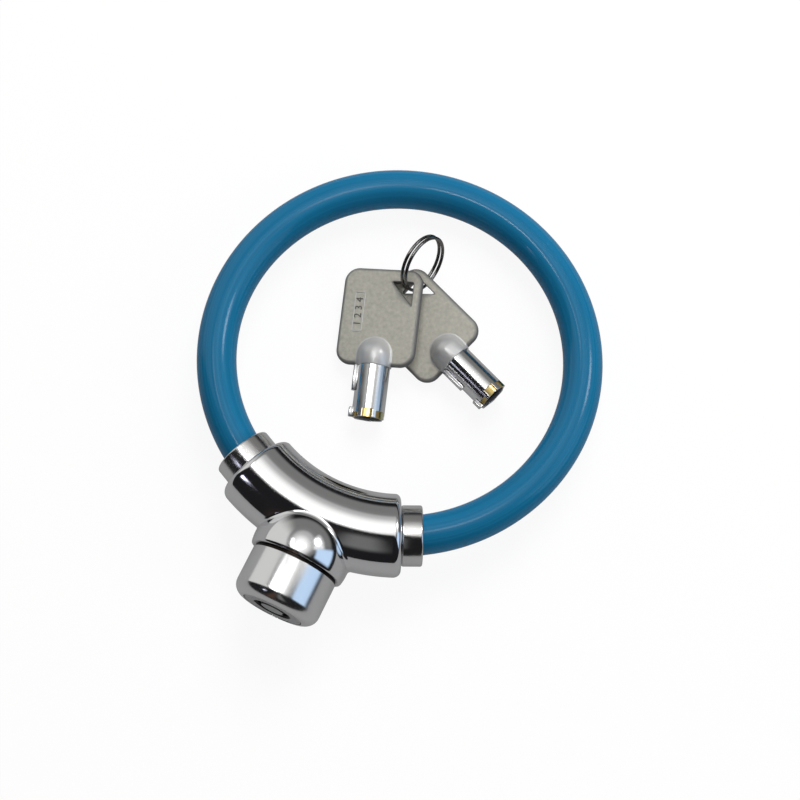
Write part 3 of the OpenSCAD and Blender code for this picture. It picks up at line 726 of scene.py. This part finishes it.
# %% [markdown]
# ## The code plate
#
# One bow carries a plain number in a narrow raised frame, which reads along the key. The frame is a
# thin tube on a rounded rectangle. The number is a text, which is made a mesh first and placed by
# numpy afterwards, because a finished piece sits at the origin with its place in its mesh.

# %% Frame of the code plate
PLATE_AT, PLATE_SIZE, PLATE_WIRE, PLATE_CORNER = np.array([-6.6, 16.45]), np.array([1.5, 6.1]), 0.14, 0.5


def plate_rings(sides=10):
    """Tube along a rounded rectangle on the bow's face: out of the path in x and y, and up in z."""
    w, h = PLATE_SIZE
    path = rounded([(x, y, PLATE_CORNER) for x, y in ((-w, -h), (w, -h), (w, h), (-w, h))], 7)
    ahead = unit(np.roll(path, -1, 0) - np.roll(path, 1, 0))
    out = np.stack([ahead[:, 1], -ahead[:, 0]], -1)
    v = full_turn(sides)
    flat = PLATE_AT + path[:, None] + PLATE_WIRE * np.cos(v)[None, :, None] * out[:, None]
    up = BOW_T / 2 + PLATE_WIRE * np.sin(v)
    return np.concatenate([flat, np.broadcast_to(up[None, :, None], (len(path), sides, 1))], -1)


on_key_1 = key_places["key_1"]
piece("code_frame", [shell(on_key_1(plate_rings()), loop=True)], "key_1", collar_zinc)


# %% Digits of the code plate
DIGIT_SIZE, DIGIT_THICK, DIGIT_SPACE, DIGIT_LIFT = 3.2, 0.1, 1.55, 0.02


def digit_mesh(number):
    """Mesh of a number about its own middle, in millimetres, with its thickness along z."""
    text = bpy.data.curves.new("digits", "FONT")
    text.body, text.size, text.extrude = number, DIGIT_SIZE, DIGIT_THICK
    text.align_x, text.align_y = "CENTER", "CENTER"
    text.space_character = DIGIT_SPACE
    text.resolution_u = 3
    holder = add("digits", text)
    mesh = settled(holder)
    bpy.data.objects.remove(holder)
    bpy.data.curves.remove(text)
    return mesh


digits = digit_mesh("1234")
flat = np.empty(3 * len(digits.vertices))
digits.vertices.foreach_get("co", flat)
x, y, z = flat.reshape(-1, 3).T
raised = np.stack([PLATE_AT[0] - y, PLATE_AT[1] + x, BOW_T / 2 + DIGIT_LIFT + z], -1)
digits.vertices.foreach_set("co", np.ravel(on_key_1(raised)))
digits.materials.clear()
digits.materials.append(stamp_grey)
code_digits = add("code_digits", digits)
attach(code_digits, "key_1")
print("digits have", len(digits.polygons), "faces over", np.ptp(raised, axis=0).round(2), "mm")

# %% [markdown]
# ## The barrels
#
# A tubular key's barrel is plated, and its end is milled with a flute for each pin. The cutter goes
# through the plating, so the flutes show bare brass; the bore inside is darkened with painted shade.
# Booleans could mill the flutes, but a grid whose radius drops in each flute stays even and can carry
# marks. Two marks on the points, one for brass and one for the painted shade inside, tell the finish
# where they are.

# %% Barrel finish
def less_metal(made, amount):
    """Takes a socket's nought to one off a finish's metallic value, down to nought."""
    tree = made.node_tree
    metal = tree.nodes["Principled BSDF"].inputs["Metallic"]
    bare = node(tree, "Math", metal.default_value, amount, operation="SUBTRACT")
    bare.use_clamp = True
    tree.links.new(bare.outputs[0], metal)


barrel_plate = finish(
    "barrel_plate", tones=[(0.78, 0.78, 0.79), (0.86, 0.86, 0.87)], roughness=(0.12, 0.2),
    tone_scale=150, grain_scale=250, grain_depth=0.0000008, Specular_IOR_Level=0.0)
# The inside mark paints shade into the bore: near black, not metallic and dull.
bore_shade_mark = read_mark(barrel_plate, "inside")
tint(barrel_plate, read_mark(barrel_plate, "brass"), (0.56, 0.42, 0.16))
tint(barrel_plate, bore_shade_mark, (0.006, 0.006, 0.007))
less_metal(barrel_plate, bore_shade_mark)
tree = barrel_plate.node_tree
rough = tree.nodes["Principled BSDF"].inputs["Roughness"]
dull = node(tree, "Math", rough.links[0].from_socket, bore_shade_mark, operation="MAXIMUM")
tree.links.new(dull.outputs[0], rough)
print("barrel finish has", len(tree.nodes), "nodes")

# %% Barrel grid
FLUTE_STEPS, FLUTE_EDGE, FLUTE_SHORT, FLUTE_GAIN = 48, 0.03, 0.8, 1.1
ROOT_EASE, TIP_EASE = 0.2, 0.08

# Rows of the bore, from the open end to its floor: place along the barrel, radius and painted shade.
BORE_ROWS = np.array([
    (BARREL_LEN, BARREL_IN + TIP_EASE, 0.0), (BARREL_LEN - 0.15, BARREL_IN, 0.6), (15.0, BARREL_IN, 1.0),
    (8.0, BARREL_IN, 1.0), (0.0, BARREL_IN, 1.0), (0.1 - BARREL_FLOOR, BARREL_IN, 1.0),
    (-BARREL_FLOOR, 1.0, 1.0)])


def barrel_rings():
    """Rings about local y. In a flute, at an angle from its middle, the wall is where a ray meets the
    cutter's circle: c times the cosine, less the root of f squared less the square of c times the sine."""
    u = np.arange(PINS * FLUTE_STEPS) / FLUTE_STEPS
    flute, off = np.round(u).astype(int) % PINS, (u - np.round(u)) * PIN_SPACE
    centre = BARREL_R + FLUTE_R - FLUTE_DEPTH
    meets = centre * np.cos(off) - np.sqrt(FLUTE_R**2 - (centre * np.sin(off)) ** 2)
    deep = BARREL_R - np.minimum(BARREL_R, meets)
    start = BARREL_LEN - (FLUTE_SHORT + FLUTE_GAIN * CUTS[flute])
    coarse, fine = np.linspace(2, 13, 12), np.linspace(13.1, BARREL_LEN - 0.1, 65)
    s = np.concatenate([[-BARREL_ROOT, -BARREL_ROOT + ROOT_EASE, 0], coarse, fine, [BARREL_LEN]])
    milled = np.clip((s[:, None] - start + FLUTE_EDGE) / (2 * FLUTE_EDGE), 0, 1)
    wall = BARREL_R - deep * milled
    wall[0] -= ROOT_EASE
    wall[-1] -= TIP_EASE
    bore_s, bore, dark = (np.repeat(column[:, None], len(u), 1) for column in BORE_ROWS.T)
    r = np.concatenate([wall, bore])
    along = np.concatenate([np.repeat(s[:, None], len(u), 1), bore_s])
    angle = BARREL_SPIN - u * PIN_SPACE
    rings = np.stack([r * np.cos(angle), -along, r * np.sin(angle)], -1)
    brass = np.concatenate([milled * np.clip(deep / (2 * FLUTE_EDGE), 0, 1), np.zeros(bore.shape)])
    return rings, {"brass": brass, "inside": np.concatenate([np.zeros(wall.shape), dark])}


# %% Barrels with their nibs
NIB_HALF, NIB_ROOT = 0.8, 4.575
NIB_SPANS = ((0.3, 8.3), (13.4, BARREL_LEN))


def nib_rings(low, high):
    """A rounded bar along the barrel: a section in x and z, drawn in at both ends, turned with the barrel."""
    tip = BARREL_R + NIB_H
    section = rounded([(-tip, -NIB_HALF, 0.25), (-tip, NIB_HALF, 0.25),
                       (-NIB_ROOT, NIB_HALF, 0.1), (-NIB_ROOT, -NIB_HALF, 0.1)], 5)
    middle = section.mean(0)
    ends = np.array([(0.0, 0.8), (0.08, 0.94), (0.22, 1.0)])
    y = np.concatenate([low + ends[:, 0], high - ends[::-1, 0]])
    scale = np.concatenate([ends[:, 1], ends[::-1, 1]])
    x, z = np.moveaxis(middle + (section - middle) * scale[:, None, None], -1, 0)
    c, s = math.cos(BARREL_SPIN), math.sin(BARREL_SPIN)
    return np.stack([x * c - z * s, np.broadcast_to(-y[:, None], x.shape), x * s + z * c], -1)


for key, place in key_places.items():
    rings, marks = barrel_rings()
    shells = [shell(place(rings), marks=marks)]
    shells += [shell(place(nib_rings(low, high))) for low, high in NIB_SPANS]
    piece(key + "_barrel_plated", shells, key, barrel_plate, [key + "_barrel"], sharp=35)

# %% [markdown]
# ## The split ring
#
# The split ring is two turns of round wire, pressed close, with a short step where one turn passes to
# the other. A spiral curve would climb evenly, and this ring lies flat and steps once. So the wire's
# centre is a circle with a height that eases from one turn to the next, and each cross-section is a
# circle in the radial and upright directions.

# %% Split ring
SPLIT_R, WIRE_R, SPLIT_PITCH = 8.8, 0.5, 1.45
STEP, SPLIT_SPIN, END_TAPER = 20.0, 292.0, 0.7
SPLIT_AT, SPLIT_YAW, SPLIT_ROLL = [-6.54, 42.03, 11.79], -10.2, 69.2


def split_wire(steps=321, sides=20):
    """Two turns in degrees. The height eases by 3 e squared less 2 e cubed, e running over the step."""
    v = np.linspace(STEP + 2, 720 - STEP - 2, steps)[:, None]
    ease = np.clip((v - 360 + STEP) / (2 * STEP), 0, 1)
    rise = SPLIT_PITCH * (ease * ease * (3 - 2 * ease) - 0.5)
    thick = np.full((steps, 1), WIRE_R)
    thick[[0, -1]] *= END_TAPER
    w = full_turn(sides)
    a, out = np.radians(v + SPLIT_SPIN), SPLIT_R + thick * np.cos(w)
    return np.stack([out * np.cos(a), out * np.sin(a), rise + thick * np.sin(w)], -1)


split_turn = turn_about(2, SPLIT_YAW) @ turn_about(1, SPLIT_ROLL)
split_ring = shell((split_wire() @ split_turn.T + SPLIT_AT) / 1000)
piece("split_ring_wire", [split_ring], "key_ring", ring_nickel, ["split_ring"])

# %% [markdown]
# ## The springs
#
# Behind each driver pin a small coil spring pushes it outwards. A coil is a circle that climbs as it
# turns, with a round section. A Screw modifier could wind one, but as arrays all seven are one piece
# round the head's axis.

# %% Springs
PIN_ORBIT, COIL_R, COIL_WIRE, COIL_TURNS = 4.6, 0.43, 0.12, 4
COIL_FROM, COIL_TO, PIN_TRAVEL = 68.52, 72.08, 1.2


def coil_rings(pin, steps=24, sides=10):
    """Rings of one spring: a circle of wire carried round the pin's axis, rising evenly as it turns."""
    t = np.linspace(0, 1, steps * COIL_TURNS + 1)[:, None]
    v = full_turn(sides)
    out, turn = COIL_R + COIL_WIRE * np.cos(v), 2 * math.pi * COIL_TURNS * t
    x, y = PIN_ORBIT + out * np.cos(turn), out * np.sin(turn)
    z = COIL_FROM + (COIL_TO - COIL_FROM) * t + COIL_WIRE * np.sin(v)
    c, s = math.cos(pin * PIN_SPACE), math.sin(pin * PIN_SPACE)
    return head(np.stack([x * c - y * s, x * s + y * c, z], -1))


coils = [shell(coil_rings(pin)) for pin in range(PINS)]
springs = piece("spring_coils", coils, "lock", turned_steel, ["pin_springs"])
coil_foot, coil_top = COIL_FROM - COIL_WIRE, COIL_TO + COIL_WIRE
head_step = head([0, 0, 1]) - head([0, 0, 0])
tuple(head([0, 0, coil_foot]))
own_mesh(springs)

# %% [markdown]
# ## Finishes of the carried-over solids
#
# The barrel's face, the rotor and the pins are small exact solids, so they stay, and only get a
# finish. The keyway should read as a dark ring round a grey post. Shadow alone leaves so narrow a slot
# too pale, so painted shade darkens the steel of both with depth: the finish measures how far a point
# lies below the face, along the head's axis.

# %% Finish the solids that stay
BARREL_FACE = FACE_A - 0.1


def paint_shade_with_depth(made, clear, dark):
    """Painted shade: mixes a finish towards near black between two depths below the barrel's face, in metres.
    """
    tree = made.node_tree
    axis = head_step * 1000
    face = float(head([0, 0, BARREL_FACE]) @ axis)
    where = node(tree, "TexCoord").outputs["Object"]
    along = node(tree, "VectorMath", where, axis, operation="DOT_PRODUCT").outputs["Value"]
    depth = node(tree, "MapRange", along, From_Min=face - clear, From_Max=face - dark).outputs["Result"]
    tint(made, depth, (0.006, 0.006, 0.006))
    less_metal(made, depth)


post_steel = face_steel.copy()
post_steel.name = "post_steel"
# Painted shade in the keyway: the barrel's face and the post darken with depth.
paint_shade_with_depth(face_steel, clear=0.00001, dark=0.00006)
paint_shade_with_depth(post_steel, clear=0.00002, dark=0.00012)
for material, names in (
    (face_steel, ["lock_barrel"]),
    (post_steel, ["rotor"]),
    (pin_brass, ["pin_housing", "key_pins", "driver_pins"]),
    (turned_steel, ["anchor_rod", "anchor_pin", "locking_plug", "cylinder_pin", "locking_cam",
                    "locking_finger", "cam_screw"]),
):
    for name in names:
        nodes[name].data.materials.clear()
        nodes[name].data.materials.append(material)
print("solids that stay:", sum(not o.hide_render for o in nodes.values()))

# %% [markdown]
# ## Floor and light
#
# The lock lies on white. To the camera the floor and the world are white, and the floor keeps a soft
# shadow. Polished metal has no colour of its own: it shows the room. So reflections see the floor as
# grey paper, and a room with a bright ceiling, a pale wall on the left, a window on the right, a few
# small lamps and a dark near side, where the camera stands. The room is made of masks in the world's
# nodes, so it has no meshes and lights nothing else. The lamps that light the matt surfaces are left
# out of the reflections, because they would show as hard squares.

# %% Floor
FLOOR_HALF, PAPER_TONE, MIRRORED_TONE, SEEN_TONE = 3.0, 0.86, 0.27, 1.02
corners = FLOOR_HALF * np.array([(-1, -1, 0), (1, -1, 0), (1, 1, 0), (-1, 1, 0)])
floor_mesh = bpy.data.meshes.new("floor")
floor_mesh.from_pydata(corners, [], [(0, 1, 2, 3)])
floor = add("floor", floor_mesh)
paper = bpy.data.materials.new("paper")
paper.use_nodes = True
tree = paper.node_tree
tree.nodes.clear()
seen = node(tree, "LightPath").outputs
mirrored = node(tree, "Math", seen["Is Glossy Ray"], seen["Is Transmission Ray"], operation="MAXIMUM")
last = node(tree, "BsdfDiffuse", (PAPER_TONE, PAPER_TONE, PAPER_TONE, 1)).outputs[0]
for tone, share, ray in (
    (MIRRORED_TONE, 0.85, mirrored.outputs[0]),
    (SEEN_TONE, 0.9, seen["Is Camera Ray"]),
):
    glow = node(tree, "Emission", (tone, tone, tone, 1)).outputs[0]
    part_of = node(tree, "Math", ray, share, operation="MULTIPLY").outputs[0]
    last = node(tree, "MixShader", part_of, last, glow).outputs[0]
node(tree, "OutputMaterial", last)
floor_mesh.materials.append(paper)
print("floor is", 2 * FLOOR_HALF, "m wide")

# %% Masks of the room
world = bpy.data.worlds.new("room")
scene.world = world
world.use_nodes = True
tree = world.node_tree
tree.nodes.clear()


def maths(operation, first, second):
    """Socket of a maths node on two sockets or numbers."""
    return node(tree, "Math", first, second, operation=operation).outputs[0]


def between(value, low, high, soft):
    """One between two angles in degrees, falling smoothly to nought over a soft edge."""
    sides = []
    for edge, ease in ((low, soft), (high, -soft)):
        start, end = math.radians(edge - ease), math.radians(edge + ease)
        ramp = node(tree, "MapRange", value, From_Min=start, From_Max=end)
        ramp.interpolation_type = "SMOOTHSTEP"
        sides.append(ramp.outputs["Result"])
    return maths("MULTIPLY", *sides)


sight = node(tree, "TexCoord").outputs["Generated"]
axes = node(tree, "SeparateXYZ", sight).outputs
bearing = maths("ARCTAN2", axes["X"], axes["Y"])
height = maths("ARCSINE", axes["Z"], 0.0)


def card(low, high, bottom, top, soft_side, soft_up):
    """Mask of an upright card between two bearings, nought at the far side, and between two heights."""
    return maths("MULTIPLY", between(bearing, low, high, soft_side), between(height, bottom, top, soft_up))


def disc(at_bearing, at_height, radius, soft):
    """Mask of a round patch: the angle from its middle is the arc cosine of a dot product."""
    b, h = math.radians(at_bearing), math.radians(at_height)
    middle = (math.cos(h) * math.sin(b), math.cos(h) * math.cos(b), math.sin(h))
    dot = node(tree, "VectorMath", sight, middle, operation="DOT_PRODUCT").outputs["Value"]
    return between(maths("ARCCOSINE", dot, 0.0), -20, radius, soft)


def strip(left, right, near, far, soft):
    """Mask of a long lamp overhead: angles to the side and to the far side are arc sines of x and y."""
    side, ahead = (maths("ARCSINE", axes[axis], 0.0) for axis in "XY")
    return maths("MULTIPLY", between(side, left, right, soft), between(ahead, near, far, soft))


# %% The room that the metal shows
NEAR_DARK = (0.012, 0.012, 0.013)
room = NEAR_DARK
for name, mask, colour in (
    ("far wall", card(-100, 62, 14, 62, 10, 5), (0.20, 0.20, 0.195)),
    ("pale wall on the left", card(-108, -50, -10, 60, 17, 8), (0.69, 0.69, 0.67)),
    ("edge of the ceiling", disc(0, 72, 35, 5), (0.22, 0.22, 0.215)),
    ("bright far corner", card(26, 64, 34, 60, 6, 6), (0.95, 0.95, 0.95)),
    ("window on the right", card(62, 94, 10, 52, 4, 4), (0.60, 0.80, 1.06)),
    ("ceiling", disc(-4, 73, 27, 5), (0.50, 0.50, 0.49)),
    ("glow on the ceiling", disc(-16, 80, 18, 11), (1.2, 1.2, 1.17)),
    ("dark near side", disc(180, 0, 83, 2.5), NEAR_DARK),
    ("grey near card", card(158, 176, 32, 70, 6, 8), (0.17, 0.17, 0.17)),
    ("brown near card", card(-176, -160, 8, 66, 5, 10), (0.07, 0.04, 0.03)),
    ("small near lamp", card(-139.5, -135.5, 36, 44, 1, 2), (3.0, 3.0, 3.8)),
    ("long lamp overhead", strip(-22, -1, -1, 3.5, 1.5), (10.5, 10.5, 10.5)),
    ("short lamp beside it", strip(-25.5, -20.5, 3.5, 15, 2), (3.4, 3.4, 3.4)),
    ("round lamp overhead", disc(22, 79, 4.5, 2.5), (4.5, 4.5, 4.5)),
    ("round lamp on the right", disc(40, 46, 6, 3), (9.5, 9.5, 9.5)),
):
    room = mix(tree, mask, room, colour)
    room.node.label = name
print("room nodes:", len(tree.nodes))

# %% What each kind of ray sees
AMBIENT, WHITE = 0.23, (1, 1, 1, 1)
rays = node(tree, "LightPath").outputs
last = node(tree, "Background", WHITE, AMBIENT).outputs[0]
for when, colour in (
    ("Is Glossy Ray", room),
    ("Is Transmission Ray", WHITE),
    ("Is Camera Ray", WHITE),
):
    light = node(tree, "Background", colour, 1.0).outputs[0]
    last = node(tree, "MixShader", rays[when], last, light).outputs[0]
node(tree, "OutputWorld", last)
print("world nodes:", len(tree.nodes))


# %% Lamps
def softbox(name, place, size, power):
    """A square area lamp that looks at the middle of the lock and stays out of reflections."""
    lamp = bpy.data.lights.new(name, "AREA")
    lamp.size, lamp.energy = size, power
    made = add(name, lamp)
    made.location = place
    made.rotation_euler = (-Vector(place)).to_track_quat("-Z", "Y").to_euler()
    made.visible_glossy = False


softbox("overhead_box", place=(-0.1, 0.65, 0.75), size=0.6, power=8.4)
softbox("right_box", place=(0.9, 0.1, 0.55), size=0.35, power=2.2)
